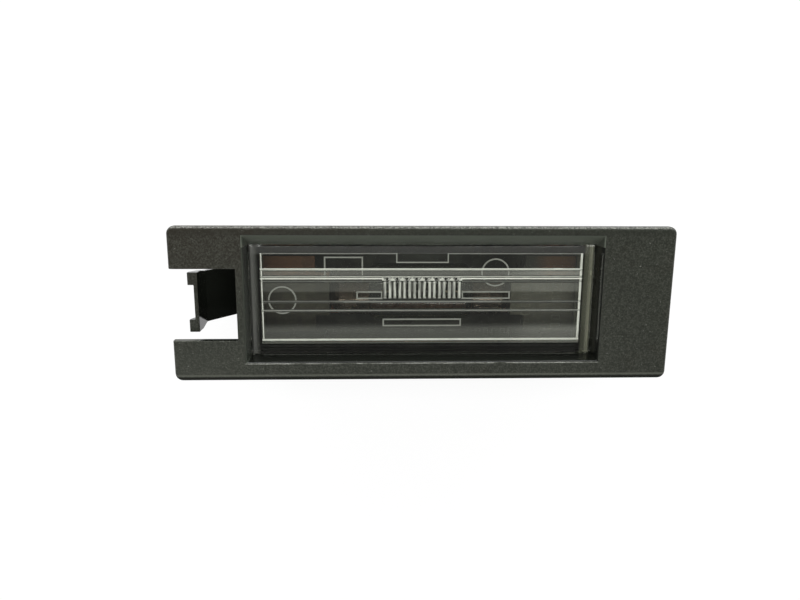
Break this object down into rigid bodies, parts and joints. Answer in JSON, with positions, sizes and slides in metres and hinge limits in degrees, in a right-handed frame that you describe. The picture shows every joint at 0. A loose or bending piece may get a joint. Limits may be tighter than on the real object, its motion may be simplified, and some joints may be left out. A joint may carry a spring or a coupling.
{
  "type": "number plate lamp",
  "caption": "Snap-in number plate lamp: dark grained frame with a release notch and sprung catch, recessed clear lens, tubular bulb on spring contacts, rear carrier and side socket.",
  "frame": {"origin": "centre of the back, in the plane that the lamp lies on", "axes": "+Z out of the lens face, +X towards the socket end, +Y across the lamp"},
  "size_m": [0.085, 0.0264, 0.023],
  "materials": {
    "frame_plastic": "fine-grained satin",
    "lens_plastic": "clear, polished",
    "sealant": "satin",
    "carrier_plastic": "satin moulded",
    "contact_bronze": "tarnished spring bronze",
    "bus_brass": "dull rolled strip",
    "rivet_metal": "tin-plated",
    "bulb_glass": "clear",
    "cap_metal": "nickel-plated",
    "solder": "dull solder",
    "filament_wire": "drawn wire",
    "lead_wire": "drawn wire"
  },
  "bodies": {
    "root": {"housing": "frame_plastic", "lens": "lens_plastic", "lens_seal": "sealant", "bulb_carrier": "carrier_plastic", "carrier_seal": "sealant", "contact_left": "contact_bronze", "contact_right": "contact_bronze", "bus_bar_left": "bus_brass", "bus_bar_right": "bus_brass", "contact_rivet_left": "rivet_metal", "contact_rivet_right": "rivet_metal", "bulb_glass": "bulb_glass", "bulb_cap_left": "cap_metal", "bulb_cap_right": "cap_metal", "bulb_solder_left": "solder", "bulb_solder_right": "solder", "bulb_filament": "filament_wire", "lead_wire_left": "lead_wire", "lead_wire_right": "lead_wire"}
  },
  "joints": []
}
